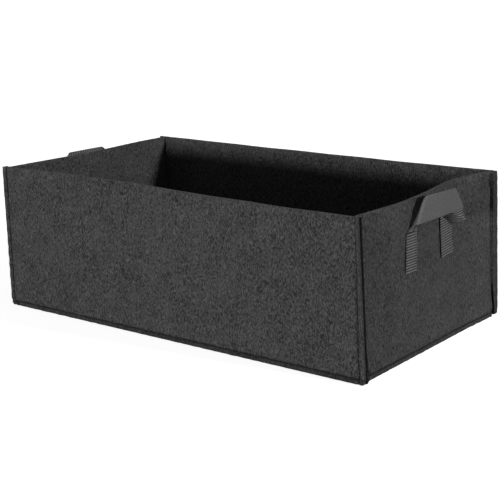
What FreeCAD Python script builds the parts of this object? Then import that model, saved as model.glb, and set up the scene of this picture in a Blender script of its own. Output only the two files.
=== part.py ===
"""Rectangular felt grow bag: five felt panels, sewn seams and two webbing carrying handles.

The bag stands on its bottom panel. +X runs along the long side, +Y towards the rear and +Z up,
and the origin is the middle of the footprint, on the floor. Lengths are in millimetres.
"""

import FreeCAD, Part
import os

from FreeCAD import Vector

# The bag.
LENGTH = 600.0  # along X, over the seam margins at the corners
DEPTH = 340.0  # along Y, over the long panels
HEIGHT = 200.0
FELT = 3.0  # felt thickness

# The seams. A margin is the felt outside the fold, and a stitch line runs along it.
CORNER_MARGIN = 9.0  # how far a corner seam stands out from the end panel
BOTTOM_MARGIN = 11.0  # height of the turned-down edge around the bottom
STITCH_INSET = 6.5  # from the raw edge of the felt to the stitch line
THREAD_WIDTH = 1.0
THREAD_RISE = 0.5  # how far a line of thread stands proud of the cloth

# The bottom panel sags from its seam to the floor over this distance.
SAG_RUN = 50.0

# The handles.
WEB_WIDTH = 30.0
WEB_THICK = 1.8
LEG_SPACING = 94.0  # between the middles of a handle's two sewn tabs
TAB_BOTTOM = 108.0
HINGE_HEIGHT = 160.0  # where the webbing leaves the sewn tabs
HINGE_OUT = 3.0  # the bending line's distance from the end panel
TAB_GAP = 0.8  # from a tab's top edge to the bending line
GRIP_OUT = 13.0  # from the end panel to the inner face of the grip
GRIP_TOP_GAP = 0.5  # the grip's top edge is this far under the rim
ARM_RISE = 11.0  # how far the arms rise before they meet the grip
STITCH_BOX_INSET = 4.0  # from the tab's edges to the stitches that hold it

# Worked out from the above.
HALF_LENGTH = LENGTH / 2
HALF_DEPTH = DEPTH / 2
END_FACE = HALF_LENGTH - CORNER_MARGIN  # outer face of an end panel
END_BACK = END_FACE - FELT
LONG_BACK = HALF_DEPTH - FELT  # inner face of a long panel
LIP_HEIGHT = BOTTOM_MARGIN - FELT
CORNER_STITCH = HALF_LENGTH - STITCH_INSET
TAB_TOP = HINGE_HEIGHT - TAB_GAP


def block(low, high):
    """A box between two opposite corners."""
    size = [b - a for a, b in zip(low, high)]
    return Part.makeBox(*size, Vector(*low))


def prism(points, travel):
    """A flat outline, pushed along a vector into a solid."""
    corners = [Vector(*p) for p in points]
    outline = Part.makePolygon(corners + corners[:1])
    return Part.Face(outline).extrude(Vector(*travel))


def joined(solids):
    """Several touching solids as one clean solid."""
    whole = solids[0].multiFuse(solids[1:]).removeSplitter()
    return whole.Solids[0]


def to_rear(shape):
    """The same piece on the other long side."""
    return shape.mirror(Vector(0, 0, 0), Vector(0, 1, 0))


def to_left(shape):
    """The same piece on the other end."""
    return shape.mirror(Vector(0, 0, 0), Vector(1, 0, 0))


def front_panel():
    """The long panel runs on past the corners as the outer layer of their seams."""
    return block((-HALF_LENGTH, -HALF_DEPTH, 0), (HALF_LENGTH, -LONG_BACK, HEIGHT))


def right_end_panel():
    """The short panel's two upright margins are turned out against the long panels."""
    wall = block((END_BACK, -LONG_BACK, 0), (END_FACE, LONG_BACK, HEIGHT))
    margin = block((END_BACK, -LONG_BACK, 0), (HALF_LENGTH, FELT - LONG_BACK, HEIGHT))
    return joined([wall, margin, to_rear(margin)])


def bottom_panel():
    """A shallow tray: it lies on the floor in the middle, and its edge is turned down at the seam."""
    edge_x, edge_y = END_BACK, LONG_BACK
    floor_x, floor_y = edge_x - SAG_RUN, edge_y - SAG_RUN
    up = (0, 0, FELT)
    middle = [(-floor_x, -floor_y, 0), (floor_x, -floor_y, 0), (floor_x, floor_y, 0), (-floor_x, floor_y, 0)]
    rim = [
        (-edge_x, -edge_y, LIP_HEIGHT),
        (edge_x, -edge_y, LIP_HEIGHT),
        (edge_x, edge_y, LIP_HEIGHT),
        (-edge_x, edge_y, LIP_HEIGHT),
    ]
    layers = [prism(middle, up)]
    for i in range(4):
        j = (i + 1) % 4
        layers.append(prism([middle[i], middle[j], rim[j], rim[i]], up))
    around = block((-edge_x, -edge_y, 0), (edge_x, edge_y, BOTTOM_MARGIN))
    within = block((FELT - edge_x, FELT - edge_y, 0), (edge_x - FELT, edge_y - FELT, BOTTOM_MARGIN))
    return joined([*layers, around.cut(within)])


def right_handle_tab():
    """The sewn end of the webbing nearest the front, flat on the end panel."""
    middle = -LEG_SPACING / 2
    low = (END_FACE, middle - WEB_WIDTH / 2, TAB_BOTTOM)
    high = (END_FACE + WEB_THICK, middle + WEB_WIDTH / 2, TAB_TOP)
    return block(low, high)


def right_handle_loop():
    """The free webbing: a grip with mitred ends, carried by two arms that lean out from the tabs."""
    outer = (LEG_SPACING + WEB_WIDTH) / 2
    inner = outer - WEB_WIDTH
    grip_x = END_FACE + GRIP_OUT
    top = HEIGHT - GRIP_TOP_GAP
    low = top - WEB_WIDTH
    outline = [(grip_x, -outer, low), (grip_x, outer, low), (grip_x, inner, top), (grip_x, -inner, top)]
    grip = prism(outline, (WEB_THICK, 0, 0))

    start = Vector(END_FACE + HINGE_OUT, -outer, HINGE_HEIGHT)
    finish = Vector(grip_x + WEB_THICK / 2, -outer, HINGE_HEIGHT + ARM_RISE)
    along = (finish - start).normalize()
    across = Vector(-along.z, 0, along.x) * (WEB_THICK / 2)
    arm = prism([start - across, finish - across, finish + across, start + across], (0, WEB_WIDTH, 0))
    return joined([grip, arm, to_rear(arm)])


def front_right_corner_thread():
    """Two lines of thread, one on each face of the corner seam."""
    half = THREAD_WIDTH / 2
    seam_back = LONG_BACK - FELT
    outside = block(
        (CORNER_STITCH - half, -HALF_DEPTH - THREAD_RISE, 0),
        (CORNER_STITCH + half, -HALF_DEPTH, HEIGHT),
    )
    inside = block(
        (CORNER_STITCH - half, -seam_back, 0),
        (CORNER_STITCH + half, THREAD_RISE - seam_back, HEIGHT),
    )
    return Part.makeCompound([outside, inside])


def front_bottom_thread():
    """Two lines of thread: on the front panel, and behind the bottom panel's turned-down edge."""
    low, high = STITCH_INSET - THREAD_WIDTH / 2, STITCH_INSET + THREAD_WIDTH / 2
    lip_back = LONG_BACK - FELT
    long_half, short_half = END_BACK, END_BACK - FELT
    outside = block((-long_half, -HALF_DEPTH - THREAD_RISE, low), (long_half, -HALF_DEPTH, high))
    inside = block((-short_half, -lip_back, low), (short_half, THREAD_RISE - lip_back, high))
    return Part.makeCompound([outside, inside.cut(bottom_panel())])


def right_bottom_thread():
    """Two lines of thread: on the end panel, and behind the bottom panel's turned-down edge."""
    low, high = STITCH_INSET - THREAD_WIDTH / 2, STITCH_INSET + THREAD_WIDTH / 2
    lip_back = END_BACK - FELT
    long_half = LONG_BACK - FELT
    short_half = long_half - THREAD_RISE
    outside = block((END_FACE, -long_half, low), (END_FACE + THREAD_RISE, long_half, high))
    inside = block((lip_back - THREAD_RISE, -short_half, low), (lip_back, short_half, high))
    return Part.makeCompound([outside, inside.cut(bottom_panel())])


def right_front_tab_thread():
    """A box of stitches through the tab and the end panel, seen on both faces."""
    middle = -LEG_SPACING / 2
    reach = WEB_WIDTH / 2 - STITCH_BOX_INSET
    low, high = TAB_BOTTOM + STITCH_BOX_INSET, TAB_TOP - STITCH_BOX_INSET

    def ring(x):
        around = block((x, middle - reach, low), (x + THREAD_RISE, middle + reach, high))
        within = block(
            (x, middle - reach + THREAD_WIDTH, low + THREAD_WIDTH),
            (x + THREAD_RISE, middle + reach - THREAD_WIDTH, high - THREAD_WIDTH),
        )
        return around.cut(within)

    return Part.makeCompound([ring(END_FACE + WEB_THICK), ring(END_BACK - THREAD_RISE)])


def all_pieces():
    """Every piece by name. What repeats on the other side or end is mirrored."""
    end, loop, tab = right_end_panel(), right_handle_loop(), right_handle_tab()
    corner, box = front_right_corner_thread(), right_front_tab_thread()
    front_seam, right_seam = front_bottom_thread(), right_bottom_thread()
    pieces = {
        "front_panel": front_panel(),
        "rear_panel": to_rear(front_panel()),
        "right_end_panel": end,
        "left_end_panel": to_left(end),
        "bottom_panel": bottom_panel(),
        "front_bottom_seam_thread": front_seam,
        "rear_bottom_seam_thread": to_rear(front_seam),
        "right_bottom_seam_thread": right_seam,
        "left_bottom_seam_thread": to_left(right_seam),
    }
    for side, place in (("right", lambda shape: shape), ("left", to_left)):
        pieces[f"{side}_handle_loop"] = place(loop)
        pieces[f"{side}_handle_front_tab"] = place(tab)
        pieces[f"{side}_handle_rear_tab"] = place(to_rear(tab))
        pieces[f"{side}_front_tab_thread"] = place(box)
        pieces[f"{side}_rear_tab_thread"] = place(to_rear(box))
        pieces[f"front_{side}_corner_thread"] = place(corner)
        pieces[f"rear_{side}_corner_thread"] = place(to_rear(corner))
    return pieces


os.makedirs("parts", exist_ok=True)
for name, shape in all_pieces().items():
    shape.exportStep(f"parts/{name}.step")
    print(f"{name}: {len(shape.Solids)} solid(s), {shape.Volume / 1000:.2f} cm3, valid {shape.isValid()}")
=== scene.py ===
"""Looks of a rectangular felt grow bag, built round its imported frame.

Five felt panels are sewn together with their seam edges outwards, and a loop of webbing is sewn to
each end. Lengths are in metres, +X runs along the long side, +Y to the rear and +Z up, and the
origin is the middle of the footprint, on the floor.
"""

import logging
import math
from dataclasses import dataclass
from enum import Enum

import bpy
import numpy as np
from mathutils import Matrix, Vector


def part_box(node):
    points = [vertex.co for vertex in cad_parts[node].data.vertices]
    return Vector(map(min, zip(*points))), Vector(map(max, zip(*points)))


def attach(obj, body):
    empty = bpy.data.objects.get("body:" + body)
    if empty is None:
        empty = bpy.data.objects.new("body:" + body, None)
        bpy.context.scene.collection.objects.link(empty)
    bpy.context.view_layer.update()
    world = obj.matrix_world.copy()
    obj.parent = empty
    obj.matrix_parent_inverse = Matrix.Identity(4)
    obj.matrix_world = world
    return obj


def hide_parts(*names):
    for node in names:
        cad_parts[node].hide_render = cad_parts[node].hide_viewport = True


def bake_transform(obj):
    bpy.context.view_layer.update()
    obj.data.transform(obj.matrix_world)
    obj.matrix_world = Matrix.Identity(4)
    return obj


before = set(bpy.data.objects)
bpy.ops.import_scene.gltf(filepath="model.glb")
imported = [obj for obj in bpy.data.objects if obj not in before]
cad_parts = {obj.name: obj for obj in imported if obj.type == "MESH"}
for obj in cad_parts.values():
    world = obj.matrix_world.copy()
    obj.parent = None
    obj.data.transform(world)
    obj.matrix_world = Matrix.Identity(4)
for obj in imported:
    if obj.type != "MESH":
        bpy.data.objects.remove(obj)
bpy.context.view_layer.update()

LOG = logging.getLogger("grow_bag")
MM = 0.001
# The webbing's ribs: their pitch on both faces, and how far the deep face's ribs slant.
RIB_PITCH = 3.3 * MM
RIB_SLANT = -0.06


class End(Enum):
    """The two short ends of the bag. The value is the side of X that the end is on."""

    RIGHT = 1
    LEFT = -1

    @property
    def label(self) -> str:
        """The end's name as the frame's nodes spell it."""
        return self.name.lower()


class Long(Enum):
    """The two long sides of the bag. The value is the side of Y that the panel is on."""

    FRONT = -1
    REAR = 1

    @property
    def label(self) -> str:
        """The side's name as the frame's nodes spell it."""
        return self.name.lower()


class Body(Enum):
    """The rigid body that everything but the free webbing rides on."""

    BAG = "bag"


# ---------------------------------------------------------------- small helpers


def smooth(value: np.ndarray) -> np.ndarray:
    """A gentle step: 0 below 0, 1 above 1, and level at both ends."""
    t = np.clip(value, 0.0, 1.0)
    return t * t * (3.0 - 2.0 * t)


def hump(distance: np.ndarray, width: float) -> np.ndarray:
    """A soft ridge that is 1 at distance 0 and gone at about twice the width."""
    return np.exp(-((distance / width) ** 2))


def deselect() -> None:
    """Leaves edit mode and deselects every object."""
    if bpy.context.mode != "OBJECT":
        bpy.ops.object.mode_set(mode="OBJECT")
    bpy.ops.object.select_all(action="DESELECT")


def pick(piece: bpy.types.Object) -> None:
    """Makes one piece the only selected and the active object.

    Args:
        piece: The object to work on.
    """
    deselect()
    piece.select_set(True)
    bpy.context.view_layer.objects.active = piece


def points_of(piece: bpy.types.Object) -> np.ndarray:
    """The piece's vertices.

    Args:
        piece: A mesh object.

    Returns:
        One row of x, y, z for each vertex.
    """
    flat = np.zeros(len(piece.data.vertices) * 3)
    piece.data.vertices.foreach_get("co", flat)
    return flat.reshape(-1, 3)


def move_points(piece: bpy.types.Object, points: np.ndarray) -> None:
    """Puts the piece's vertices at new places.

    Args:
        piece: A mesh object.
        points: One row of x, y, z for each vertex.
    """
    piece.data.vertices.foreach_set("co", points.astype(np.float32).ravel())
    piece.data.update()


def apply_all(piece: bpy.types.Object) -> None:
    """Applies the piece's modifiers from the top of the stack to the bottom.

    Args:
        piece: The object whose modifiers become its mesh.
    """
    pick(piece)
    for name in [m.name for m in piece.modifiers]:
        bpy.ops.object.modifier_apply(modifier=name)


def mesh_piece(name: str, points: np.ndarray, faces: list, material: bpy.types.Material) -> bpy.types.Object:
    """Makes a piece from points and faces.

    Args:
        name: The new piece's name.
        points: One row of x, y, z for each vertex.
        faces: The vertex numbers of each face.
        material: What it is made of.

    Returns:
        The piece, in the scene.
    """
    mesh = bpy.data.meshes.new(name)
    mesh.from_pydata(points.tolist(), [], faces)
    mesh.materials.append(material)
    piece = bpy.data.objects.new(name, mesh)
    bpy.context.scene.collection.objects.link(piece)
    return piece


def face_outwards(piece: bpy.types.Object) -> None:
    """Turns the faces of a closed piece outwards.

    Args:
        piece: A mesh object.
    """
    pick(piece)
    bpy.ops.object.mode_set(mode="EDIT")
    bpy.ops.mesh.select_all(action="SELECT")
    bpy.ops.mesh.normals_make_consistent(inside=False)
    bpy.ops.object.mode_set(mode="OBJECT")


def ruled(low: float, high: float, fine_at: list[float], step: float = 2.5 * MM) -> np.ndarray:
    """Grid lines between two ends, closer together at a seam.

    Args:
        low: The first line.
        high: The last line.
        fine_at: The places of the seams, in rising order.
        step: The distance between lines away from the seams.

    Returns:
        The places of the lines, in rising order.
    """
    reach, fine = 4.0 * MM, 0.8 * MM
    stops = [(low, step)]
    for place in fine_at:
        stops += [(place - reach, fine), (place + reach, step)]
    ends = [start for start, _ in stops[1:]] + [high]
    lines = [low]
    for (start, gap), stop in zip(stops, ends):
        count = max(1, round((stop - start) / gap))
        lines += list(np.linspace(start, stop, count + 1)[1:])
    return np.array(lines)


def cloth_grid(name: str, across: np.ndarray, along: np.ndarray) -> tuple:
    """A flat grid of quads whose lines stand at the given places.

    Args:
        name: The new piece's name.
        across: The places of the lines along the grid's first direction.
        along: The places of the lines along its second direction.

    Returns:
        The piece, and each vertex's two places on the flat cloth.
    """
    deselect()
    columns, rows = len(across) - 1, len(along) - 1
    bpy.ops.mesh.primitive_grid_add(x_subdivisions=columns, y_subdivisions=rows, size=2.0)
    piece = bpy.context.object
    piece.name = piece.data.name = name
    spots = points_of(piece)
    first = across[np.rint((spots[:, 0] + 1.0) / 2.0 * columns).astype(int)]
    second = along[np.rint((spots[:, 1] + 1.0) / 2.0 * rows).astype(int)]
    return piece, first, second


# ---------------------------------------------------------------- sizes and the hang of the cloth


@dataclass(frozen=True)
class BagSize:
    """The bag's sizes, as the frame has them."""

    half_length: float
    half_depth: float
    height: float
    felt: float
    end_face: float
    corner_stitch: float
    bottom_stitch: float
    bottom_margin: float

    @classmethod
    def from_frame(cls) -> "BagSize":
        """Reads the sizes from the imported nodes.

        Returns:
            The bag's sizes in metres.
        """
        front_low, front_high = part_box("front_panel")
        end_low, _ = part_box("right_end_panel")
        corner_low, corner_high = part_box("front_right_corner_thread")
        seam_low, seam_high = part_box("front_bottom_seam_thread")
        felt = front_high.y - front_low.y
        return cls(
            half_length=front_high.x,
            half_depth=-front_low.y,
            height=front_high.z,
            felt=felt,
            end_face=end_low.x + felt,
            corner_stitch=(corner_low.x + corner_high.x) / 2,
            bottom_stitch=(seam_low.z + seam_high.z) / 2,
            bottom_margin=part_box("bottom_panel")[1].z,
        )


class Ripples:
    """Slow random waves in a sheet, as a seeded sum of plane waves."""

    def __init__(self, seed: int, height: float, longest: float, shortest: float, count: int = 7) -> None:
        """Draws the waves.

        Args:
            seed: Fixes the waves, so that every run makes the same cloth.
            height: About how far the waves stand from the mean.
            longest: The longest wavelength.
            shortest: The shortest wavelength.
            count: How many waves are added up.
        """
        draw = np.random.default_rng(seed)
        lengths = shortest * (longest / shortest) ** draw.random(count)
        turns = draw.random(count) * math.pi
        self.first = 2 * math.pi / lengths * np.cos(turns)
        self.second = 2 * math.pi / lengths * np.sin(turns)
        self.phase = draw.random(count) * 2 * math.pi
        self.height = height * math.sqrt(2.0 / count)

    def at(self, a: np.ndarray, b: np.ndarray) -> np.ndarray:
        """The height of the waves.

        Args:
            a: Places along the sheet's first direction.
            b: Places along its second direction.

        Returns:
            One height for each place.
        """
        angle = np.outer(a, self.first) + np.outer(b, self.second) + self.phase
        return np.sin(angle).sum(axis=1) * self.height


class Drape:
    """How the standing, empty bag's cloth leaves the flat: leaning corners, bowed rims and waves."""

    # How far the top of each corner stands from over its foot, along X and Y.
    LEANS = {
        (End.LEFT, Long.FRONT): (-8.5 * MM, 7.5 * MM),
        (End.RIGHT, Long.FRONT): (-1.0 * MM, -3.0 * MM),
        (End.RIGHT, Long.REAR): (-1.5 * MM, -9.0 * MM),
        (End.LEFT, Long.REAR): (0.0, -3.5 * MM),
    }
    # How far each rim bows inwards: a single arch, then a wave in and out.
    BOWS = {
        Long.FRONT: (6.0 * MM, 6.0 * MM),
        Long.REAR: (4.5 * MM, -0.5 * MM),
        End.RIGHT: (1.5 * MM, -7.5 * MM),
        End.LEFT: (4.0 * MM, 2.0 * MM),
    }
    # How far each corner's flange is turned towards the front, as a slope at its foot and at its top.
    TURNS = {
        (End.RIGHT, Long.FRONT): (0.0, 0.5),
        (End.RIGHT, Long.REAR): (0.15, 0.15),
        (End.LEFT, Long.FRONT): (0.0, 0.1),
        (End.LEFT, Long.REAR): (0.0, -0.2),
    }
    # How much wider the front right flange is than the pattern says, at its foot and at its top.
    EXTRA_MARGIN = (3.2 * MM, -1.8 * MM)
    # The rear right corner stands back and out, so that its flange is the narrowest of the four.
    CORNER_BACK = 2.0 * MM
    CORNER_OUT = 2.5 * MM
    BOW_RISE = 1.7
    CORNER_ROUND = 4.0 * MM
    LONG_TUCK = 0.6 * MM
    END_TUCK = 1.0 * MM
    SEAM_FADE = 55.0 * MM
    # The foot of each end stands out almost as far as the flanges beside it.
    FLARE = 6.5 * MM
    FLARE_HEIGHT = 70.0 * MM
    CORNER_REACH = 90.0 * MM
    # A panel's own bow and waves start this far from its middle, as a share, and fade in over the next.
    OWN_START, OWN_FADE = 0.4, 0.5
    # How far above the rim, as a share of the height, the corners go on leaning.
    TOP_SHARE = 1.05
    # The flange turns where it lies within this much of the long panel's face.
    TURN_DEPTH, TURN_FADE = 12.0 * MM, 4.0 * MM

    def __init__(self, size: BagSize) -> None:
        """Keeps the sizes and draws each panel's waves.

        Args:
            size: The bag's sizes.
        """
        self.size = size
        self.waves = {
            side: Ripples(seed, 1.0 * MM, 0.26, 0.09)
            for seed, side in enumerate([Long.FRONT, Long.REAR, End.RIGHT, End.LEFT], start=11)
        }

    def bow(self, side: Long | End, share: np.ndarray) -> np.ndarray:
        """How far a rim stands inwards.

        Args:
            side: The panel.
            share: Where along the rim, from -1 to 1.

        Returns:
            The distance from the straight rim, inwards.
        """
        arch, wave = self.BOWS[side]
        angle = (share + 1.0) * math.pi / 2
        return arch * np.sin(angle) + wave * np.sin(2 * angle)

    def place(self, flat: np.ndarray) -> np.ndarray:
        """Moves points of the flat, square bag to where the soft bag has them.

        Args:
            flat: One row of x, y, z for each point.

        Returns:
            The moved points.
        """
        size = self.size
        out = self._rounded(flat)
        x, y, z = out.T.copy()
        u = np.clip(x / size.half_length, -1.0, 1.0)
        v = np.clip(y / size.half_depth, -1.0, 1.0)
        rise = np.clip(z / size.height, 0.0, self.TOP_SHARE)
        climb = np.clip(rise, 0.0, 1.0)
        for (end, long), (along, across) in self.LEANS.items():
            weight = (1.0 + end.value * u) / 2 * (1.0 + long.value * v) / 2 * rise
            out[:, 0] += along * weight
            out[:, 1] += across * weight
        near_end = smooth((np.abs(u) - self.OWN_START) / self.OWN_FADE)
        near_long = smooth((np.abs(v) - self.OWN_START) / self.OWN_FADE)
        lift = rise**self.BOW_RISE
        foot = smooth(1.0 - z / size.bottom_stitch) * (z < size.bottom_stitch)
        clear_x = smooth((size.end_face - np.abs(x)) / self.SEAM_FADE)
        clear_y = smooth((size.half_depth - np.abs(y)) / self.SEAM_FADE)
        clear_z = smooth(z / self.SEAM_FADE)
        for long in Long:
            here = near_long * (np.sign(y) == long.value)
            wave = self.waves[long].at(x, z) * clear_x * clear_z
            inward = self.bow(long, u) * lift + wave + self.LONG_TUCK * foot
            out[:, 1] -= long.value * inward * here
        for end in End:
            here = near_end * (np.sign(x) == end.value)
            wave = self.waves[end].at(y, z) * clear_y * clear_z
            inward = self.bow(end, v) * lift + wave + self.END_TUCK * foot
            out[:, 0] -= end.value * (inward * here - self._flare(x, y, z) * (np.sign(x) == end.value))
        beyond = np.maximum(np.abs(x) - size.end_face, 0.0)
        for (end, long), (foot_turn, top_turn) in self.TURNS.items():
            here = (np.sign(x) == end.value) & (np.sign(y) == long.value)
            slope = foot_turn + (top_turn - foot_turn) * climb
            inside = smooth((np.abs(y) - size.half_depth + self.TURN_DEPTH) / self.TURN_FADE)
            out[:, 1] -= slope * beyond * here * inside
        reach = size.half_length - size.end_face
        foot_extra, top_extra = self.EXTRA_MARGIN
        wider = foot_extra + (top_extra - foot_extra) * climb
        out[:, 0] += wider * beyond / reach * ((x > 0) & (y < 0))
        near = smooth(1.0 - (size.half_length - x) / self.CORNER_REACH)
        near *= smooth(1.0 - (size.half_depth - y) / self.CORNER_REACH)
        out[:, 1] += self.CORNER_BACK * near
        out[:, 0] += self.CORNER_OUT * near * np.clip((size.half_length - x) / reach, 0.0, 1.0)
        return out

    def _flare(self, x: np.ndarray, y: np.ndarray, z: np.ndarray) -> np.ndarray:
        """How far the foot of an end is pushed out between its two flanges.

        Args:
            x: Places along the bag.
            y: Places across it.
            z: Heights.

        Returns:
            The distance outwards.
        """
        near = smooth((np.abs(x) - self.size.end_face + 30 * MM) / (20 * MM))
        between = smooth((self.size.half_depth - 6 * MM - np.abs(y)) / (10 * MM))
        return self.FLARE * near * between * smooth(1.0 - z / self.FLARE_HEIGHT)

    def _rounded(self, flat: np.ndarray) -> np.ndarray:
        """Rounds the feet of the four corner seams.

        Args:
            flat: One row of x, y, z for each point.

        Returns:
            A copy with the points near the corner seams' feet drawn in.
        """
        out = flat.astype(float).copy()
        reach = self.CORNER_ROUND
        beyond = np.maximum(np.abs(out[:, 0]) - (self.size.half_length - reach), 0.0)
        below = np.maximum(reach - out[:, 2], 0.0)
        far = np.hypot(beyond, below)
        share = np.where(far > 0, np.maximum(beyond, below) / np.maximum(far, 1e-9), 1.0)
        both = (beyond > 0) & (below > 0)
        out[:, 0] = np.where(both, out[:, 0] - np.sign(out[:, 0]) * beyond * (1 - share), out[:, 0])
        out[:, 2] = np.where(both, out[:, 2] + below * (1 - share), out[:, 2])
        return out


# ---------------------------------------------------------------- finishes


class Nodes:
    """A short way to wire a material's nodes."""

    def __init__(self, name: str) -> None:
        """Makes an empty material with one surface shader.

        Args:
            name: The material's name.
        """
        self.material = bpy.data.materials.new(name)
        self.material.use_nodes = True
        self.tree = self.material.node_tree
        self.tree.nodes.clear()
        self.shader = self.add("ShaderNodeBsdfPrincipled")
        output = self.add("ShaderNodeOutputMaterial")
        self.join(self.shader.outputs["BSDF"], output.inputs["Surface"])

    def add(self, kind: str, **settings: object) -> bpy.types.Node:
        """Adds a node.

        Args:
            kind: Blender's name of the node type.
            settings: Its properties, and its input sockets by name with underscores for spaces.

        Returns:
            The new node.
        """
        node = self.tree.nodes.new(kind)
        for key, value in settings.items():
            if hasattr(node, key):
                setattr(node, key, value)
            else:
                node.inputs[key.replace("_", " ")].default_value = value
        return node

    def join(self, start: bpy.types.NodeSocket, end: bpy.types.NodeSocket) -> None:
        """Links an output to an input."""
        self.tree.links.new(start, end)

    def math(self, operation: str, *values: object) -> bpy.types.NodeSocket:
        """A Math node on sockets or numbers.

        Args:
            operation: The node's operation.
            values: Sockets to link, or numbers to set.

        Returns:
            The result's socket.
        """
        node = self.add("ShaderNodeMath", operation=operation)
        for slot, value in zip(node.inputs, values):
            if isinstance(value, bpy.types.NodeSocket):
                self.join(value, slot)
            else:
                slot.default_value = value
        return node.outputs["Value"]

    def noise(
        self, place: bpy.types.NodeSocket, lump: float, detail: float = 2.0, rough: float = 0.5
    ) -> bpy.types.Node:
        """Soft noise.

        Args:
            place: The socket of the places it is read at.
            lump: The size of its lumps.
            detail: How many finer layers it has.
            rough: How strong those are.

        Returns:
            The node.
        """
        node = self.add("ShaderNodeTexNoise", Scale=1.0 / lump, Detail=detail, Roughness=rough)
        self.join(place, node.inputs["Vector"])
        return node

    def spread(self, value: bpy.types.NodeSocket, low: float, high: float) -> bpy.types.NodeSocket:
        """Stretches a value, so that it goes from 0 at low to 1 at high."""
        node = self.add("ShaderNodeMapRange", From_Min=low, From_Max=high)
        self.join(value, node.inputs["Value"])
        return node.outputs["Result"]

    def tint(self, factor: bpy.types.NodeSocket, dark: object, light: object) -> bpy.types.NodeSocket:
        """A colour between two others, each a socket or red, green and blue.

        Args:
            factor: The socket that says how much of the second, from 0 to 1.
            dark: The colour at 0.
            light: The colour at 1.

        Returns:
            The colour's socket.
        """
        node = self.add("ShaderNodeMix", data_type="RGBA")
        for key, colour in (("A", dark), ("B", light)):
            if isinstance(colour, bpy.types.NodeSocket):
                self.join(colour, node.inputs[key])
            else:
                node.inputs[key].default_value = (*colour, 1.0)
        self.join(factor, node.inputs["Factor"])
        return node.outputs["Result"]

    def surface(self, **settings: float) -> bpy.types.Material:
        """Sets the surface shader's own sockets, by name with underscores for spaces.

        Args:
            settings: The value of each socket.

        Returns:
            The finished material.
        """
        for key, value in settings.items():
            self.shader.inputs[key.replace("_", " ")].default_value = value
        return self.material

    def bump(self, height: bpy.types.NodeSocket, strength: float, distance: float) -> None:
        """Bumps the surface.

        Args:
            height: The relief's socket.
            strength: How much of the relief shows.
            distance: The relief's height in metres.
        """
        node = self.add("ShaderNodeBump", Strength=strength, Distance=distance)
        self.join(height, node.inputs["Height"])
        self.join(node.outputs["Normal"], self.shader.inputs["Normal"])


@dataclass(frozen=True)
class FeltFinish:
    """Needle-punched felt: matted fibres that run in short, mostly upright streaks."""

    name: str
    dark: tuple
    light: tuple
    streak_width: float = 1.6 * MM
    streak_length: float = 4.2 * MM
    fibre: float = 0.6 * MM
    ridge_width: float = 0.085
    blotch: float = 26.0 * MM
    bump: float = 0.3
    # The colour that the attribute darkens towards: pressed felt, and painted shade.
    press_and_shade: tuple = (0.003, 0.003, 0.003)

    def make(self) -> bpy.types.Material:
        """Builds the material.

        Returns:
            The felt.
        """
        nodes = Nodes(self.name)
        place = nodes.add("ShaderNodeTexCoord").outputs["Object"]
        # Bends the streaks, so that they wander instead of standing in rows.
        drift = nodes.noise(place, 13.0 * MM, detail=1.0)
        sway = nodes.add("ShaderNodeVectorMath", operation="MULTIPLY_ADD")
        nodes.join(drift.outputs["Color"], sway.inputs[0])
        sway.inputs[1].default_value = (12.0 * MM, 12.0 * MM, 6.0 * MM)
        nodes.join(place, sway.inputs[2])
        stretch = nodes.add("ShaderNodeMapping")
        stretch.inputs["Scale"].default_value = (
            1.0 / self.streak_width,
            1.0 / self.streak_width,
            1.0 / self.streak_length,
        )
        nodes.join(sway.outputs["Vector"], stretch.inputs["Vector"])
        streak = nodes.noise(stretch.outputs["Vector"], 1.0, rough=0.55).outputs["Fac"]
        fibre = nodes.noise(place, self.fibre, rough=0.6).outputs["Fac"]
        blotch = nodes.noise(place, self.blotch).outputs["Fac"]
        shade = nodes.spread(streak, 0.27, 0.73)
        # Single fibres follow the lines where the streaks pass their middle value.
        off = nodes.math("ABSOLUTE", nodes.math("SUBTRACT", streak, 0.5))
        strand = nodes.math("SUBTRACT", 1.0, nodes.math("DIVIDE", off, self.ridge_width))
        strand = nodes.math("MAXIMUM", strand, 0.0)
        grit = nodes.spread(fibre, 0.3, 0.7)
        # Light strokes are rarer than dark ones.
        mixed = nodes.math("MULTIPLY", nodes.math("POWER", shade, 1.9), 1.15)
        mixed = nodes.math("MULTIPLY_ADD", grit, 0.22, mixed)
        mixed = nodes.math("MULTIPLY_ADD", nodes.math("MULTIPLY", strand, grit), 0.14, mixed)
        factor = nodes.math("MULTIPLY_ADD", nodes.math("SUBTRACT", blotch, 0.5), 0.35, mixed)
        felt = nodes.tint(factor, self.dark, self.light)
        # Darkening read from a mesh attribute: felt that stitches press flat is darker, and painted shade darkens
        # the seam creases and the strip below the bottom seam.
        pressed = nodes.add("ShaderNodeAttribute", attribute_name="press_and_shade")
        colour = nodes.tint(pressed.outputs["Fac"], felt, self.press_and_shade)
        nodes.join(colour, nodes.shader.inputs["Base Color"])
        relief = nodes.math("MULTIPLY_ADD", fibre, 0.35, streak)
        nodes.bump(nodes.math("MULTIPLY_ADD", strand, 0.25, relief), self.bump, 0.8 * MM)
        return nodes.surface(Roughness=0.95, Specular_IOR_Level=0.15, Sheen_Weight=0.12, Sheen_Roughness=0.5)


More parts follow.
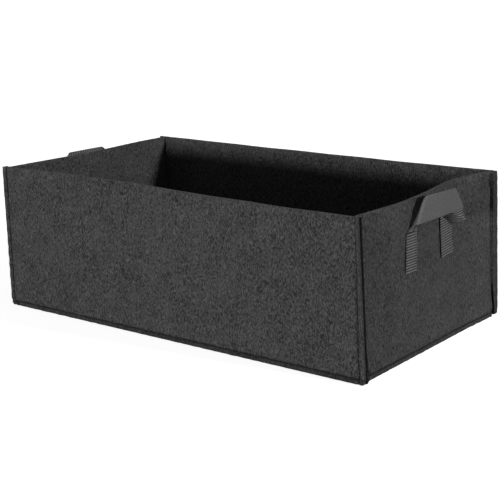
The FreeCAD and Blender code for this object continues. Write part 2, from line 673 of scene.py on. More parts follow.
@dataclass(frozen=True)
class WebbingFinish:
    """Ribbed nylon webbing. Its pattern follows the strap's own length and width."""

    name: str
    dark: tuple
    light: tuple
    edge_shade: tuple
    groove: tuple
    crest_highlight: tuple
    half_width: float
    rib: float
    yarn: float = 0.9 * MM

    def make(self) -> bpy.types.Material:
        """Builds the material.

        Returns:
            The webbing.
        """
        nodes = Nodes(self.name)
        strip = nodes.add("ShaderNodeUVMap", uv_map="strap")
        parts = nodes.add("ShaderNodeSeparateXYZ")
        nodes.join(strip.outputs["UV"], parts.inputs["Vector"])
        along, across = parts.outputs["X"], parts.outputs["Y"]
        # Two sets of yarns that pass over and under each other.
        warp = nodes.math("SINE", nodes.math("MULTIPLY", across, 2 * math.pi / self.yarn))
        weft = nodes.math("SINE", nodes.math("MULTIPLY", along, 2 * math.pi / self.rib))
        weave = nodes.math("MULTIPLY_ADD", nodes.math("MULTIPLY", warp, weft), 0.5, 0.5)
        grain = nodes.noise(strip.outputs["UV"], 2.0 * MM)
        grit = nodes.spread(grain.outputs["Fac"], 0.3, 0.7)
        mixed = nodes.math("MULTIPLY_ADD", grit, 0.5, nodes.math("MULTIPLY", weave, 0.5))
        # One face of the webbing has shallow ribs and the other has deep ones.
        # The deep ribs are painted from near black in their grooves to light on their crests: painted shade and
        # painted highlight for the light on the ribs.
        turn = nodes.math("MULTIPLY", across, RIB_SLANT)
        turn = nodes.math("MULTIPLY", nodes.math("ADD", along, turn), math.pi / self.rib)
        ridge = nodes.math("POWER", nodes.math("ABSOLUTE", nodes.math("SINE", turn)), 2.2)
        ridge = nodes.math("MULTIPLY", ridge, nodes.math("MULTIPLY_ADD", grit, 0.9, 0.35))
        which = nodes.add("ShaderNodeAttribute", attribute_name="coarse")
        shallow = nodes.tint(mixed, self.dark, self.light)
        deep = nodes.tint(ridge, self.groove, self.crest_highlight)
        body = nodes.tint(which.outputs["Fac"], shallow, deep)
        # Painted shade: the outer half millimetre of each edge and the thickness faces are near black, standing
        # for the shadow line beside each leg.
        edge = nodes.math("ABSOLUTE", across)
        edge = nodes.math("GREATER_THAN", edge, self.half_width - 0.5 * MM)
        nodes.join(nodes.tint(edge, body, self.edge_shade), nodes.shader.inputs["Base Color"])
        nodes.bump(mixed, 0.5, 0.25 * MM)
        return nodes.surface(Roughness=0.62, Specular_IOR_Level=0.3, Sheen_Weight=0.1)


@dataclass(frozen=True)
class ThreadFinish:
    """Twisted polyester sewing thread."""

    name: str
    dark: tuple
    light: tuple

    def make(self) -> bpy.types.Material:
        """Builds the material.

        Returns:
            The thread.
        """
        nodes = Nodes(self.name)
        place = nodes.add("ShaderNodeTexCoord").outputs["Object"]
        twist = nodes.noise(place, 0.3 * MM).outputs["Fac"]
        nodes.join(nodes.tint(twist, self.dark, self.light), nodes.shader.inputs["Base Color"])
        nodes.bump(twist, 0.4, 0.1 * MM)
        return nodes.surface(Roughness=0.6, Specular_IOR_Level=0.3)


@dataclass(frozen=True)
class FloorFinish:
    """A pale, plain floor."""

    name: str
    colour: tuple
    glow: float

    def make(self) -> bpy.types.Material:
        """Builds the material.

        Returns:
            The floor's paint.
        """
        nodes = Nodes(self.name)
        nodes.shader.inputs["Base Color"].default_value = (*self.colour, 1.0)
        nodes.shader.inputs["Emission Color"].default_value = (*self.colour, 1.0)
        return nodes.surface(Roughness=1.0, Specular_IOR_Level=0.0, Emission_Strength=self.glow)


@dataclass(frozen=True)
class Finishes:
    """The materials that the pieces share."""

    felt: bpy.types.Material
    cut_edge: bpy.types.Material
    seam_edge: bpy.types.Material
    webbing: bpy.types.Material
    thread: bpy.types.Material

    @classmethod
    def make(cls, half_width: float) -> "Finishes":
        """Builds each material once.

        Args:
            half_width: Half the webbing's width.

        Returns:
            The finishes.
        """
        return cls(
            felt=FeltFinish("charcoal_felt", (0.008, 0.008, 0.0083), (0.116, 0.116, 0.120)).make(),
            # The cut rims are darker felt: partly the hot-cut edge's own colour, partly painted shade that keeps
            # the top rims from catching the light.
            cut_edge=FeltFinish("cut_felt_edge_shaded", (0.018, 0.018, 0.0185), (0.056, 0.056, 0.058)).make(),
            # Painted shadow: a near-black felt for the front corner seams' cut edges, standing for the gap beside
            # each flange.
            seam_edge=FeltFinish("pressed_seam_edge", (0.002, 0.002, 0.002), (0.008, 0.008, 0.008)).make(),
            webbing=WebbingFinish(
                "ribbed_webbing",
                dark=(0.055, 0.055, 0.057),
                light=(0.19, 0.19, 0.195),
                edge_shade=(0.003, 0.003, 0.003),
                groove=(0.002, 0.002, 0.002),
                crest_highlight=(0.27, 0.27, 0.275),
                half_width=half_width,
                rib=RIB_PITCH,
            ).make(),
            thread=ThreadFinish("black_thread", (0.003, 0.003, 0.003), (0.010, 0.010, 0.011)).make(),
        )


# ---------------------------------------------------------------- felt panels


class Felt:
    """What the felt panels share: the squeeze of a seam, thickness, edges and dress."""

    GROOVE = 1.8 * MM
    SQUEEZE = 0.42
    PUCKER = 0.28 * MM
    EDGE_ROUND = 0.6 * MM
    # How near to the corner seam's outer edge a face is, and how squarely it faces along X, to get the painted
    # shadow of a seam edge.
    SEAM_EDGE_REACH = 13.6 * MM
    SEAM_EDGE_FACING = 0.6

    def __init__(self, size: BagSize, drape: Drape, finishes: Finishes) -> None:
        """Keeps what every panel is built from.

        Args:
            size: The bag's sizes.
            drape: The hang of the cloth.
            finishes: The shared materials.
        """
        self.size, self.drape, self.finishes = size, drape, finishes
        self.lumps = Ripples(5, 0.13 * MM, 0.019, 0.008, count=16)
        self.puckers = Ripples(6, 1.0, 0.022, 0.011, count=6)

    def squeeze(self, distance: np.ndarray) -> np.ndarray:
        """How hard the stitches press the cloth, from 0 to 1.

        Args:
            distance: The distance from the line of stitches.
        """
        return hump(distance, self.GROOVE)

    def pucker(self, distance: np.ndarray, a: np.ndarray, b: np.ndarray) -> np.ndarray:
        """The small waves that sewing leaves beside a seam.

        Args:
            distance: The distance from the line of stitches.
            a: Places along the cloth's first direction.
            b: Places along its second direction.

        Returns:
            The waves' height.
        """
        return self.PUCKER * self.puckers.at(a, b) * hump(distance, 7.0 * MM)

    def strip(self, height: np.ndarray) -> np.ndarray:
        """Where the cloth lies below the bottom seam's stitches, from 0 to 1.

        Args:
            height: Heights on the panel.
        """
        return smooth((self.size.bottom_stitch - height) / (1.5 * MM) + 0.5)

    def thicken(self, piece: bpy.types.Object, press: np.ndarray, press_and_shade: np.ndarray) -> None:
        """Gives a sheet its thickness, less under the stitches, and eases its edges.

        Args:
            piece: The sheet's middle surface.
            press: How hard each vertex is pressed, from 0 to 1.
            press_and_shade: How much darker each vertex is, from 0 to 1: felt pressed by stitches, with painted
                shade in the seam creases and on the strip below the bottom seam.
        """
        shade = piece.data.attributes.new("press_and_shade", "FLOAT", "POINT")
        shade.data.foreach_set("value", press_and_shade.astype(np.float32))
        group = piece.vertex_groups.new(name="thickness")
        for index, share in enumerate(1.0 - self.SQUEEZE * press):
            group.add([index], float(share), "REPLACE")
        for material in (self.finishes.felt, self.finishes.cut_edge, self.finishes.seam_edge):
            piece.data.materials.append(material)
        solid = piece.modifiers.new("thickness", "SOLIDIFY")
        solid.thickness, solid.offset = self.size.felt, 0.0
        solid.vertex_group = group.name
        solid.use_even_offset = True
        # The rims get the darker cut-edge felt, which carries painted shade.
        solid.material_offset_rim = 1
        ease = piece.modifiers.new("edges", "BEVEL")
        ease.width, ease.segments = self.EDGE_ROUND, 2
        ease.limit_method, ease.angle_limit = "ANGLE", math.radians(50)
        apply_all(piece)
        piece.vertex_groups.clear()
        solid_points = points_of(piece)
        solid_points[:, 2] = np.maximum(solid_points[:, 2], 0.0)
        move_points(piece, solid_points)
        bpy.ops.object.shade_smooth_by_angle(angle=math.radians(40))

    def darken_seam_edges(self, piece: bpy.types.Object) -> None:
        """Paints the upright cut edges at the front corner seams near black: painted shadow for the dark gap
        between each flange and the end panel.

        Args:
            piece: A finished panel.
        """
        limit = self.size.half_length - self.SEAM_EDGE_REACH
        for face in piece.data.polygons:
            upright = face.material_index == 1 and abs(face.normal.x) > self.SEAM_EDGE_FACING
            if upright and face.center.y < 0 and abs(face.center.x) > limit:
                face.material_index = 2

    def dress(self, piece: bpy.types.Object, node: str, flat: tuple, held: str, area: float | None = None) -> None:
        """Puts a finished panel in the frame in place of its node.

        Args:
            piece: The finished panel.
            node: The node that it stands for.
            flat: The cut cloth's width and length. Not used.
            held: How the sheet is held. Not used.
            area: The cut cloth's area, where it isn't a rectangle. Not used.
        """
        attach(piece, Body.BAG.value)
        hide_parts(node)
        LOG.info("%s: %d faces", piece.name, len(piece.data.polygons))


@dataclass
class LongPanel:
    """A long felt panel, whose ends run on past the corners as the outer layer of their seams."""

    side: Long
    felt: Felt
    splay: float = 0.3 * MM

    def build(self) -> bpy.types.Object:
        """Builds the panel and puts it in the frame.

        Returns:
            The finished piece.
        """
        size = self.felt.size
        across = ruled(-size.half_length, size.half_length, [-size.corner_stitch, size.corner_stitch])
        along = ruled(0.0, size.height, [size.bottom_stitch])
        piece, x, z = cloth_grid(f"{self.side.label}_panel_felt", across, along)
        corner = np.abs(np.abs(x) - size.corner_stitch)
        bottom = np.abs(z - size.bottom_stitch)
        near = np.minimum(corner, bottom)
        press = np.maximum(self.felt.squeeze(corner), self.felt.squeeze(bottom))
        inward = press * self.felt.SQUEEZE * size.felt / 2
        inward += self.felt.pucker(near, x, z) + self.felt.lumps.at(x, z)
        inward -= self.splay * smooth((np.abs(x) - size.corner_stitch) / (10 * MM))
        y = self.side.value * (size.half_depth - size.felt / 2 - inward)
        move_points(piece, self.felt.drape.place(np.column_stack([x, y, z])))
        # Painted shade: the stitch lines darken for pressed felt and the shade in their crease, and the strip
        # below the bottom seam darkens as if shaded by the panel above it.
        lines = np.maximum(0.5 * self.felt.squeeze(corner), 0.75 * self.felt.squeeze(bottom))
        self.felt.thicken(piece, press, np.maximum(lines, 0.45 * self.felt.strip(z)))
        flat = (2 * size.half_length, size.height)
        self.felt.dress(piece, f"{self.side.label}_panel", flat, "stretched")
        return piece


@dataclass
class EndPanel:
    """A short felt panel, whose two upright margins are turned out against the long panels."""

    end: End
    felt: Felt
    fold: float = 2.2 * MM
    setback: float = 0.6 * MM
    splay: float = 1.8 * MM
    foot_splay: float = 2.0 * MM
    rear_splay: float = 0.4 * MM

    def build(self) -> bpy.types.Object:
        """Builds the panel and puts it in the frame.

        Returns:
            The finished piece.
        """
        size = self.felt.size
        margin_y = size.half_depth - 1.5 * size.felt
        wall_x = size.end_face - size.felt / 2
        wall = margin_y - self.fold
        bend = self.fold * math.pi / 2
        margin = size.half_length - self.setback - wall_x - self.fold
        stitch = wall + bend + size.corner_stitch - wall_x - self.fold
        half = wall + bend + margin
        across = ruled(-half, half, [-stitch, stitch], step=2.0 * MM)
        along = ruled(0.0, size.height, [size.bottom_stitch])
        piece, s, z = cloth_grid(f"{self.end.label}_end_panel_felt", across, along)
        past = np.abs(s) - wall
        turn = np.clip(past / self.fold, 0.0, math.pi / 2)
        straight = np.maximum(past - bend, 0.0)
        x = wall_x + self.fold * (1 - np.cos(turn)) + straight
        y = np.minimum(np.abs(s), wall) + self.fold * np.sin(turn)
        corner = np.abs(np.abs(s) - stitch)
        bottom = np.abs(z - size.bottom_stitch)
        press = np.maximum(self.felt.squeeze(corner), self.felt.squeeze(bottom) * (past < 0))
        bumps = self.felt.pucker(np.minimum(corner, bottom), s, z) + self.felt.lumps.at(s + 1.0, z)
        inset = press * self.felt.SQUEEZE * size.felt / 2
        on_wall = np.cos(turn)
        x -= on_wall * (inset + bumps)
        # The margin is pressed against the long panel at the stitches, and parts from it at its edge.
        y += np.sin(turn) * (inset - bumps * 0.3)
        splay = self.splay + self.foot_splay * smooth(1.0 - z / (60 * MM))
        splay = np.where(s < 0, splay, self.rear_splay)
        y -= np.sin(turn) * splay * smooth((x - size.corner_stitch) / (5 * MM))
        points = np.column_stack([self.end.value * x, np.sign(s) * y, z])
        move_points(piece, self.felt.drape.place(points))
        # Painted shade: the bottom stitch line darkens for pressed felt and the shade in its crease, and the strip
        # below it darkens a little as if in shade.
        lines = 0.6 * self.felt.squeeze(bottom) * (past < 0)
        self.felt.thicken(piece, press, np.maximum(lines, 0.2 * self.felt.strip(z)))
        self.felt.darken_seam_edges(piece)
        self.felt.dress(piece, f"{self.end.label}_end_panel", (2 * half, size.height), "stretched")
        return piece


@dataclass
class BottomPanel:
    """The sewn-in bottom: flat on the floor in the middle, with its four margins turned down."""

    felt: Felt
    sag: float = 50.0 * MM
    fold: float = 2.2 * MM
    corner_reach: float = 4.0 * MM

    def build(self) -> bpy.types.Object:
        """Builds the panel and puts it in the frame.

        Returns:
            The finished piece.
        """
        size = self.felt.size
        edge_x = size.end_face - 1.5 * size.felt
        edge_y = size.half_depth - 1.5 * size.felt
        bend = self.fold * math.pi / 2
        top = size.bottom_margin - size.felt / 2
        lip = bend + top - self.fold
        half_x, half_y = edge_x - self.fold + lip, edge_y - self.fold + lip
        step = 4.0 * MM
        piece, a, b = cloth_grid(
            "bottom_panel_felt",
            ruled(-half_x, half_x, [-(edge_x - self.fold), edge_x - self.fold], step),
            ruled(-half_y, half_y, [-(edge_y - self.fold), edge_y - self.fold], step),
        )
        past_x, past_y = np.abs(a) - (edge_x - self.fold), np.abs(b) - (edge_y - self.fold)
        across_x, down_x = self._turned(past_x, bend)
        across_y, down_y = self._turned(past_y, bend)
        x = np.sign(a) * (np.minimum(np.abs(a), edge_x - self.fold) + across_x)
        y = np.sign(b) * (np.minimum(np.abs(b), edge_y - self.fold) + across_y)
        slope_x, slope_y = smooth(-past_x / self.sag), smooth(-past_y / self.sag)
        level = size.felt / 2 + (top - size.felt / 2) * (1.0 - slope_x * slope_y)
        creases = Ripples(9, 0.8 * MM, 0.16, 0.05).at(a, b) * slope_x * slope_y * (1 - slope_x * slope_y) * 4
        z = level - down_x - down_y + np.maximum(creases, -0.5 * MM)
        z = np.maximum(z, size.felt / 2)
        lump = np.abs(self.felt.lumps.at(a, b))
        on_lip = np.maximum(past_x, past_y) > bend
        z = np.where(on_lip, level - down_x - down_y, z + lump)
        move_points(piece, self.felt.drape.place(np.column_stack([x, y, z])))
        self._cut_corners(piece, (past_x > self.corner_reach) & (past_y > self.corner_reach))
        plain = np.zeros(len(piece.data.vertices))
        self.felt.thicken(piece, plain, plain)
        flat = (2 * half_x, 2 * half_y)
        corner = lip - self.corner_reach
        self.felt.dress(piece, "bottom_panel", flat, "laid", area=flat[0] * flat[1] - 4 * corner * corner)
        return piece

    def _turned(self, past: np.ndarray, bend: float) -> tuple:
        """How far cloth beyond the fold goes out and down.

        Args:
            past: The distance along the cloth from the start of the fold.
            bend: The length of cloth in the fold.

        Returns:
            The distance outwards and the distance down.
        """
        turn = np.clip(past / self.fold, 0.0, math.pi / 2)
        straight = np.maximum(past - bend, 0.0)
        return self.fold * np.sin(turn), self.fold * (1 - np.cos(turn)) + straight

    def _cut_corners(self, piece: bpy.types.Object, gone: np.ndarray) -> None:
        """Cuts the squares out of the sheet's corners, so that its margins can turn down.

        Args:
            piece: The sheet.
            gone: Which vertices lie inside the cut squares.
        """
        pick(piece)
        bpy.ops.object.mode_set(mode="EDIT")
        bpy.ops.mesh.select_all(action="DESELECT")
        bpy.ops.object.mode_set(mode="OBJECT")
        for vertex, cut in zip(piece.data.vertices, gone):
            vertex.select = bool(cut)
        bpy.ops.object.mode_set(mode="EDIT")
        bpy.ops.mesh.delete(type="VERT")
        bpy.ops.object.mode_set(mode="OBJECT")


# ---------------------------------------------------------------- stitches


@dataclass(frozen=True)
class Run:
    """One straight run of stitches on the flat, square bag."""

    start: tuple
    end: tuple
    outward: tuple


class Sewing:
    """Lays stitches along runs on the cloth."""

    PITCH = 5.0 * MM
    LENGTH = 3.9 * MM
    RADIUS = 0.48 * MM
    SINK = 0.55 * MM

    def __init__(self, drape: Drape, finishes: Finishes) -> None:
        """Models one stitch.

        Args:
            drape: The hang of the cloth, which the stitches follow.
            finishes: The shared materials.
        """
        self.drape, self.finishes = drape, finishes
        self.wander = Ripples(21, 0.28 * MM, 0.12, 0.02)
        deselect()
        bpy.ops.mesh.primitive_uv_sphere_add(segments=6, ring_count=6, radius=self.RADIUS)
        stitch = bpy.context.object
        spots = points_of(stitch)
        half = self.LENGTH / 2
        share = spots[:, 2] / self.RADIUS
        arched = 0.25 * MM - 0.6 * MM * share**2
        self.spots = np.column_stack([share * half, spots[:, 0], spots[:, 1] + arched])
        self.faces = [tuple(face.vertices) for face in stitch.data.polygons]
        bpy.data.objects.remove(stitch)

    def sew(self, name: str, node: str, runs: list[Run], sink: float | None = None) -> bpy.types.Object:
        """Sews runs of stitches as one piece, and puts it in the frame.

        Args:
            name: The piece's name.
            node: The node that it stands for.
            runs: The lines of stitches.
            sink: How deep the thread lies in the cloth.

        Returns:
            The finished piece.
        """
        depth = self.SINK if sink is None else sink
        blocks = []
        for run in runs:
            start, end, outward = (np.array(v, float) for v in (run.start, run.end, run.outward))
            length = float(np.linalg.norm(end - start))
            count = max(1, round(length / self.PITCH))
            along = (end - start) / length
            side = np.cross(outward, along)
            for index in range(count):
                at = length * (index + 0.5) / count
                stray = self.wander.at(np.array([at]), np.array([start.sum()]))[0]
                middle = start + along * at + side * stray - outward * depth
                blocks.append(middle + self.spots @ np.array([along, side, outward]))
        size = len(self.spots)
        faces = [tuple(v + k * size for v in face) for k in range(len(blocks)) for face in self.faces]
        piece = mesh_piece(name, self.drape.place(np.vstack(blocks)), faces, self.finishes.thread)
        face_outwards(piece)
        bpy.ops.object.shade_smooth()
        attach(piece, Body.BAG.value)
        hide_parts(node)
        LOG.info("%s: %d stitches", name, len(blocks))
        return piece


@dataclass
class Seams:
    """All the lines of stitches that hold the felt panels together."""

    size: BagSize
    sewing: Sewing

    def build(self) -> None:
        """Sews the four corner seams and the four bottom seams."""
        for end in End:
            for long in Long:
                self._corner(end, long)
        for side in (*Long, *End):
            self._bottom(side)

    def _corner(self, end: End, long: Long) -> None:
        """Sews one upright corner seam, seen on both its faces.

        Args:
            end: The end that the corner is at.
            long: The long side that the corner is at.
        """
        x = end.value * self.size.corner_stitch
        low, high = 2.0 * MM, self.size.height - 2.0 * MM
        outer = long.value * self.size.half_depth
        inner = long.value * (self.size.half_depth - 2 * self.size.felt)
        runs = [
            Run((x, outer, low), (x, outer, high), (0, long.value, 0)),
            Run((x, inner, low), (x, inner, high), (0, -long.value, 0)),
        ]
        name = f"{long.label}_{end.label}_corner"
        self.sewing.sew(f"{name}_stitches", f"{name}_thread", runs)

    def _bottom(self, side: Long | End) -> None:
        """Sews the bottom seam of one side, seen on both its faces.

        Args:
            side: The long side or the end.
        """
        size, sign = self.size, side.value
        if isinstance(side, Long):
            face, reach, inset = size.half_depth, size.end_face - size.felt, 2 * size.felt
        else:
            face, reach, inset = size.end_face, size.half_depth - 2 * size.felt, size.felt
        runs = []
        for place, half, outward in (
            (sign * face, reach, sign),
            (sign * (face - 2 * size.felt), reach - inset, -sign),
        ):
            if isinstance(side, Long):
                ends = (-half, place, size.bottom_stitch), (half, place, size.bottom_stitch)
                runs.append(Run(*ends, (0, outward, 0)))
            else:
                ends = (place, -half, size.bottom_stitch), (place, half, size.bottom_stitch)
                runs.append(Run(*ends, (outward, 0, 0)))
        self.sewing.sew(f"{side.label}_bottom_stitches", f"{side.label}_bottom_seam_thread", runs)


# ---------------------------------------------------------------- handles


@dataclass(frozen=True)
class Leg:
    """How one leg of a handle leaves the end panel, on its way up to the fold.

    Attributes:
        leaves: The height at which its outer edge leaves the panel.
        steep: The steepest lean of its bend, in radians.
        curl: How far its outer edge curls off the bend.
        skew: How much later its inner edge leaves the panel.
        shift: How far the sewn leg is moved along the panel.
        spread: How much wider the handle is at its top, as a share.
        broad: The sewn leg's width, as a share of the webbing's.
        tilt: How much higher its outer edge stands than its inner one.
        lift: How far the grip's top edge is raised at this leg.
    """

    leaves: float
    steep: float
    curl: float
    skew: float
    shift: float
    spread: float
    broad: float
    tilt: float
    lift: float


# Each handle's legs as on the right-hand one, front first. The left-hand handle is turned half round.
LEGS = {
    End.RIGHT: (
        Leg(
            leaves=153.0 * MM,
            steep=1.30,
            curl=0.0,
            skew=24.0 * MM,
            shift=-6.0 * MM,
            spread=0.24,
            broad=0.88,
            tilt=2.4 * MM,
            lift=3.4 * MM,
        ),
        Leg(
            leaves=143.0 * MM,
            steep=1.35,
            curl=2.5 * MM,
            skew=22.0 * MM,
            shift=1.5 * MM,
            spread=0.10,
            broad=1.12,
            tilt=0.0,
            lift=1.2 * MM,
        ),
    ),
    End.LEFT: (
        Leg(
            leaves=150.0 * MM,
            steep=1.30,
            curl=1.0 * MM,
            skew=18.0 * MM,
            shift=0.0,
            spread=0.16,
            broad=1.0,
            tilt=0.0,
            lift=1.5 * MM,
        ),
        Leg(
            leaves=151.0 * MM,
            steep=1.30,
            curl=1.0 * MM,
            skew=16.0 * MM,
            shift=1.0 * MM,
            spread=0.18,
            broad=1.0,
            tilt=0.5 * MM,
            lift=2.0 * MM,
        ),
    ),
}


@dataclass
class Handle:
    """One length of webbing: up from a sewn tab, folded across, and down to the other tab."""

    end: End
    size: BagSize
    drape: Drape
    sewing: Sewing
    finishes: Finishes
    fold: float = 1.35 * MM
    row_step: float = 0.42 * MM
    columns: int = 18
    coarse_rise: float = 0.45 * MM
    fine_rise: float = 0.30 * MM
    stitch_inset: float = 4.5 * MM
    belly: float = 28.0 * MM
    crown: float = 1.2 * MM
    narrowing: float = 0.045
    sewn_slant: float = 16.0 * MM
    sewn_fade: float = 18.0 * MM
    crease_fade: float = 9.0 * MM
    lift_reach: float = 30.0 * MM

    def __post_init__(self) -> None:
        """Reads the handle's sizes from the frame."""
        low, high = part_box(f"{self.end.label}_handle_front_tab")
        grip_low, grip_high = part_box(f"{self.end.label}_handle_loop")
        self.width = high.y - low.y
        self.thick = high.x - low.x
        self.foot, self.tab_top = low.z, high.z
        self.outer = -low.y
        self.grip_out = max(abs(grip_low.x), abs(grip_high.x)) - self.thick / 2
        self.grip_low = grip_high.z - self.width
        self.legs = LEGS[self.end]

    def build(self) -> bpy.types.Object:
        """Builds the webbing and its stitches, and puts them in the frame.

        Returns:
            The webbing.
        """
        label = self.end.label
        middle, place = self._strip()
        piece = self._solid(middle, place)
        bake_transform(piece)
        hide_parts(f"{label}_handle_loop", f"{label}_handle_front_tab", f"{label}_handle_rear_tab")
        for long in Long:
            self._tab_stitches(long)
        return piece

    def _rise(self, leg: Leg) -> tuple:
        """The side view of a leg: how far it has come out, and how high it is, along its length.

        Args:
            leg: The leg's own bend.

        Returns:
            Lengths along the strip, the share of the way out, and the heights.
        """
        along = np.linspace(self.foot, self.foot + 0.2, 2001)
        gap = along[1] - along[0]
        reach = self.grip_out - 2 * self.fold - self.size.end_face - self.thick / 2
        sines = np.sin(leg.steep * np.sin(np.linspace(0, math.pi, 200)) ** 2)
        run = reach / sines.mean()
        inside = np.clip((along - leg.leaves) / run, 0.0, 1.0)
        angle = leg.steep * np.sin(math.pi * inside) ** 2
        out = np.cumsum(np.sin(angle)) * gap
        height = self.foot + np.cumsum(np.cos(angle)) * gap
        return along, out / out[-1], height

    def _half(self, leg: Leg, along: np.ndarray, across: np.ndarray, side: Long) -> np.ndarray:
        """The middle surface of half the webbing, from a tab to the middle of the grip.

        Args:
            leg: The bend of this half's leg.
            along: Lengths from the foot to the middle of the grip, measured as heights on the leg.
            across: Places across the webbing, 0 at its outer edge.
            side: Which side the half is on, as if it were the right-hand handle.

        Returns:
            Points, one row of the grid for each length.
        """
        marks, shares, heights = self._rise(leg)
        lag = marks[-1] - heights[-1]
        crease = self.grip_low + lag
        p, q = np.meshgrid(along, across, indexing="ij")
        # Distances across and along the 45 degree crease, which starts at the strip's outer edge.
        beyond = ((p - crease) - q) / math.sqrt(2)
        run = ((p - crease) + q) / math.sqrt(2)
        half_turn = self.fold * math.pi / 2
        turn = np.clip((beyond + half_turn) / self.fold, 0.0, math.pi)
        back = np.where(beyond < -half_turn, beyond, -half_turn + self.fold * np.sin(turn))
        back = np.where(beyond > half_turn, -beyond, back)
        q, p = (run - back) / math.sqrt(2), crease + (run + back) / math.sqrt(2)
        front = (1 - np.cos(turn)) / 2
        y = -self.outer + q
        # The inner edge of a skewed leg stays on the panel for longer than its outer edge.
        late = leg.skew * q / self.width
        share = np.interp(p - late, marks, shares)
        below = np.minimum(p - late - marks[0], 0.0)
        z = (np.interp(p - late, marks, heights) + late + below) * (1 - front) + (p - lag) * front
        leg_x = self.grip_out - 2 * self.fold
        on_panel = self._panel_face(side.value * -y, z)
        lifted = on_panel + (leg_x - on_panel) * share
        belly = np.sin(math.pi * np.clip((p - leg.leaves) / self.belly, 0, 1)) ** 2
        lifted += leg.curl * belly * (1 - np.clip(q / self.width, 0, 1)) ** 1.5
        grip_x = self.grip_out + self.crown * np.cos(y / self.outer * math.pi / 2) ** 2
        x = lifted * (1 - front) + grip_x * front
        narrow = self.narrowing * smooth((z - self.grip_low + 12 * MM) / (10 * MM))
        spread = leg.spread * smooth((z - self.grip_low) / self.width)
        y *= 1.0 - narrow + spread
        # The sewn leg's own width and place carry on up its inner edge, until the grip hides it.
        sewn = smooth((self.grip_low + self.sewn_slant * q / self.width - z) / self.sewn_fade)
        sewn *= smooth((-beyond - half_turn) / self.crease_fade)
        y += (leg.broad - 1.0) * q * sewn
        middle_lift = (self.legs[0].lift + self.legs[1].lift) / 2
        lift = middle_lift + (leg.lift - middle_lift) * smooth(np.abs(y) / self.lift_reach)
        z = z + lift * front * smooth((z - self.grip_low) / self.width)
        z += leg.tilt * (1.0 - q / self.width) * sewn
        return np.stack([x, side.value * -y + leg.shift * sewn, z], axis=-1)

    def _panel_face(self, y: np.ndarray, z: np.ndarray) -> np.ndarray:
        """How far out the webbing's middle is where it lies flat on the end panel.

        Args:
            y: Places along the panel, as if it were the right-hand one.
            z: Heights on the panel.

        Returns:
            Distances from the bag's middle.
        """
        sign = self.end.value
        flat = np.column_stack([np.full(y.size, sign * self.size.end_face), sign * y.ravel(), z.ravel()])
        face = self.drape.place(flat)[:, 0] * sign
        return face.reshape(y.shape) + self.thick / 2 + 0.15 * MM

    def _strip(self) -> tuple:
        """The whole webbing's middle surface.

        Returns:
            The points as a grid, and each point's length along and place across the strip.
        """
        halves, lengths = [], []
        across = np.linspace(0.0, self.width, self.columns)
        for leg, side in zip(self.legs, (Long.FRONT, Long.REAR)):
            marks, _, heights = self._rise(leg)
            crease = self.grip_low + marks[-1] - heights[-1]
            rows = round((crease + self.outer - self.foot) / self.row_step)
            along = np.linspace(self.foot, crease + self.outer, rows)
            halves.append(self._half(leg, along, across, side))
            lengths.append(along - self.foot)
        middle = np.concatenate([halves[0], halves[1][::-1][1:]])
        second = lengths[0][-1] + (lengths[1][-1] - lengths[1][::-1][1:])
        length = np.concatenate([lengths[0], second])
        p, q = np.meshgrid(length, across - self.width / 2, indexing="ij")
        middle[..., 0] *= self.end.value
        middle[..., 1] *= self.end.value
        return middle, np.stack([p, q], axis=-1).reshape(-1, 2)

    def _solid(self, middle: np.ndarray, place: np.ndarray) -> bpy.types.Object:
        """Closes the webbing round its middle surface, with its ribs on both faces.

        Args:
            middle: The middle surface's points, as a grid.
            place: Each point's length along and place across the strip.

        Returns:
            The webbing's mesh object.
        """
        rows, columns = middle.shape[:2]
        along, across = np.gradient(middle, axis=0), np.gradient(middle, axis=1)
        normal = np.cross(along, across)
        normal /= np.linalg.norm(normal, axis=-1, keepdims=True)
        p = place[:, 0].reshape(rows, columns)
        q = place[:, 1].reshape(rows, columns)
        thin = 1.0 - 0.45 * smooth((np.abs(q) - self.width / 2 + 1.2 * MM) / (1.2 * MM))
        coarse = self.coarse_rise * np.abs(np.sin(math.pi * (p + q * RIB_SLANT) / RIB_PITCH)) ** 0.7
        fine = self.fine_rise * np.sin(math.pi * p / RIB_PITCH) ** 2
        base = self.thick / 2
        inner = middle + normal * ((base - self.fine_rise + fine) * thin)[..., None]
        outer = middle - normal * ((base - self.coarse_rise + coarse) * thin)[..., None]
        points = np.concatenate([inner.reshape(-1, 3), outer.reshape(-1, 3)])
        number = np.arange(rows * columns).reshape(rows, columns)
        faces = self._faces(number, rows * columns)
        piece = mesh_piece(f"{self.end.label}_handle_webbing", points, faces.tolist(), self.finishes.webbing)
        mesh = piece.data
        strap = mesh.uv_layers.new(name="strap")
        corners = np.zeros(len(mesh.loops), int)
        mesh.loops.foreach_get("vertex_index", corners)
        strap.data.foreach_set("uv", np.concatenate([place, place])[corners].astype(np.float32).ravel())
        coarse_face = mesh.attributes.new("coarse", "FLOAT", "POINT")
        coarse_face.data.foreach_set("value", np.repeat([0.0, 1.0], rows * columns).astype(np.float32))
        face_outwards(piece)
        bpy.ops.object.shade_smooth_by_angle(angle=math.radians(50))
        return piece

    def _faces(self, number: np.ndarray, shift: int) -> np.ndarray:
        """The quads of a closed strip.

        Args:
            number: The first face's vertex numbers, as a grid.
            shift: What is added for the same vertex on the other face.

        Returns:
            Four vertex numbers for each quad.
        """
        a, b, c, d = number[:-1, :-1], number[1:, :-1], number[1:, 1:], number[:-1, 1:]
        one = np.stack([a, b, c, d], axis=-1).reshape(-1, 4)
        other = one[:, ::-1] + shift
        rim = np.concatenate([number[:, 0], number[-1, 1:], number[::-1, -1][1:], number[0, ::-1][1:]])
        follow = np.roll(rim[:-1], -1)
        start = rim[:-1]
        sides = np.stack([follow, start, start + shift, follow + shift], axis=-1)
        return np.concatenate([one, other, sides])

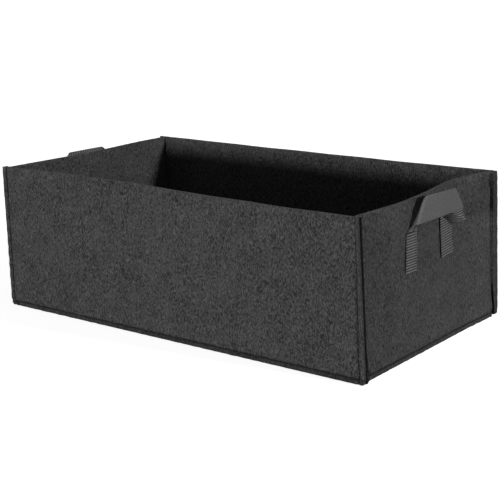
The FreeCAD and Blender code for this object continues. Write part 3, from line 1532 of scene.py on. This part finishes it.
    def _tab_stitches(self, long: Long) -> None:
        """Sews the box of stitches that holds one tab, seen on the webbing and inside the bag.

        Args:
            long: The side that the tab is on.
        """
        sign, inset = self.end.value, self.stitch_inset
        # The legs are listed as on the right-hand handle, and the left-hand one is turned half round.
        leg = self.legs[0] if long.value * sign < 0 else self.legs[1]
        shift = sign * leg.shift
        near, far = self.outer - self.width + inset, self.outer - inset
        low, high = self.foot + inset, self.tab_top - inset
        runs = []
        for x, outward in (
            (self.size.end_face + self.thick, (sign, 0, 0)),
            (self.size.end_face - self.size.felt, (-sign, 0, 0)),
        ):
            corners = [(near, low), (far, low), (far, high), (near, high)]
            for (y0, z0), (y1, z1) in zip(corners, corners[1:] + corners[:1]):
                start = (sign * x, long.value * y0 + shift, z0)
                end = (sign * x, long.value * y1 + shift, z1)
                runs.append(Run(start, end, outward))
        name = f"{self.end.label}_{long.label}_tab"
        self.sewing.sew(f"{name}_stitches", f"{name}_thread", runs, sink=0.1 * MM)


# ---------------------------------------------------------------- the studio


@dataclass
class Studio:
    """A pale floor, soft light and the camera."""

    azimuth: float = 37.987
    elevation: float = 14.097
    roll: float = -1.289
    lens: float = 87.96
    place: tuple = (1.0183, -1.2960, 0.4993)
    floor_side: float = 80.0

    def build(self) -> None:
        """Builds the floor, the lights and the camera."""
        self._floor()
        self._sun("key_light", (0.92, 0.15, 0.34), 1.75, 7.0)
        self._sun("front_light", (0.07, -0.98, 0.035), 2.55, 8.0)
        world = bpy.data.worlds.new("studio_air")
        world.use_nodes = True
        world.node_tree.nodes["Background"].inputs["Color"].default_value = (1.0, 1.0, 1.0, 1.0)
        world.node_tree.nodes["Background"].inputs["Strength"].default_value = 0.12
        scene = bpy.context.scene
        scene.world = world
        scene.view_settings.view_transform = "Standard"
        self._camera()

    def _floor(self) -> None:
        """Lays the floor, which lights only what the camera sees of it."""
        deselect()
        bpy.ops.mesh.primitive_plane_add(size=self.floor_side, location=(0, 0, 0))
        floor = bpy.context.object
        floor.name = "floor"
        floor.data.materials.append(FloorFinish("pale_floor", (0.93, 0.93, 0.93), 0.92).make())
        floor.visible_diffuse = False
        floor.visible_glossy = False

    def _sun(self, name: str, towards: tuple, strength: float, spread: float) -> None:
        """Hangs a distant soft light.

        Args:
            name: The light's name.
            towards: The direction from the bag to the light.
            strength: Its strength.
            spread: Its width as seen from the bag, in degrees.
        """
        light = bpy.data.lights.new(name, "SUN")
        light.energy, light.angle = strength, math.radians(spread)
        lamp = bpy.data.objects.new(name, light)
        lamp.rotation_euler = Vector(towards).to_track_quat("Z", "Y").to_euler()
        bpy.context.scene.collection.objects.link(lamp)

    def _camera(self) -> None:
        """Sets the camera up."""
        a, e, r = (math.radians(v) for v in (self.azimuth, self.elevation, self.roll))
        right = Vector((math.cos(a), math.sin(a), 0.0))
        back = Vector((math.sin(a) * math.cos(e), -math.cos(a) * math.cos(e), math.sin(e)))
        up = back.cross(right)
        turned = math.cos(r) * right + math.sin(r) * up
        upward = -math.sin(r) * right + math.cos(r) * up
        data = bpy.data.cameras.new("camera")
        data.lens, data.sensor_width = self.lens, 36.0
        data.clip_start, data.clip_end = 0.05, 200.0
        camera = bpy.data.objects.new("camera", data)
        turn = Matrix((turned, upward, back)).transposed()
        camera.matrix_world = Matrix.Translation(self.place) @ turn.to_4x4()
        bpy.context.scene.collection.objects.link(camera)
        bpy.context.scene.camera = camera


def main() -> None:
    """Builds the bag, its seams, its handles and the studio."""
    logging.basicConfig(level=logging.INFO, format="%(message)s")
    size = BagSize.from_frame()
    drape = Drape(size)
    tab_low, tab_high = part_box("right_handle_front_tab")
    finishes = Finishes.make((tab_high.y - tab_low.y) / 2)
    felt = Felt(size, drape, finishes)
    for long in Long:
        LongPanel(long, felt).build()
    for end in End:
        EndPanel(end, felt).build()
    BottomPanel(felt).build()
    sewing = Sewing(drape, finishes)
    Seams(size, sewing).build()
    for end in End:
        Handle(end, size, drape, sewing, finishes).build()
    Studio().build()
    bpy.context.view_layer.update()


if __name__ == "__main__":
    main()
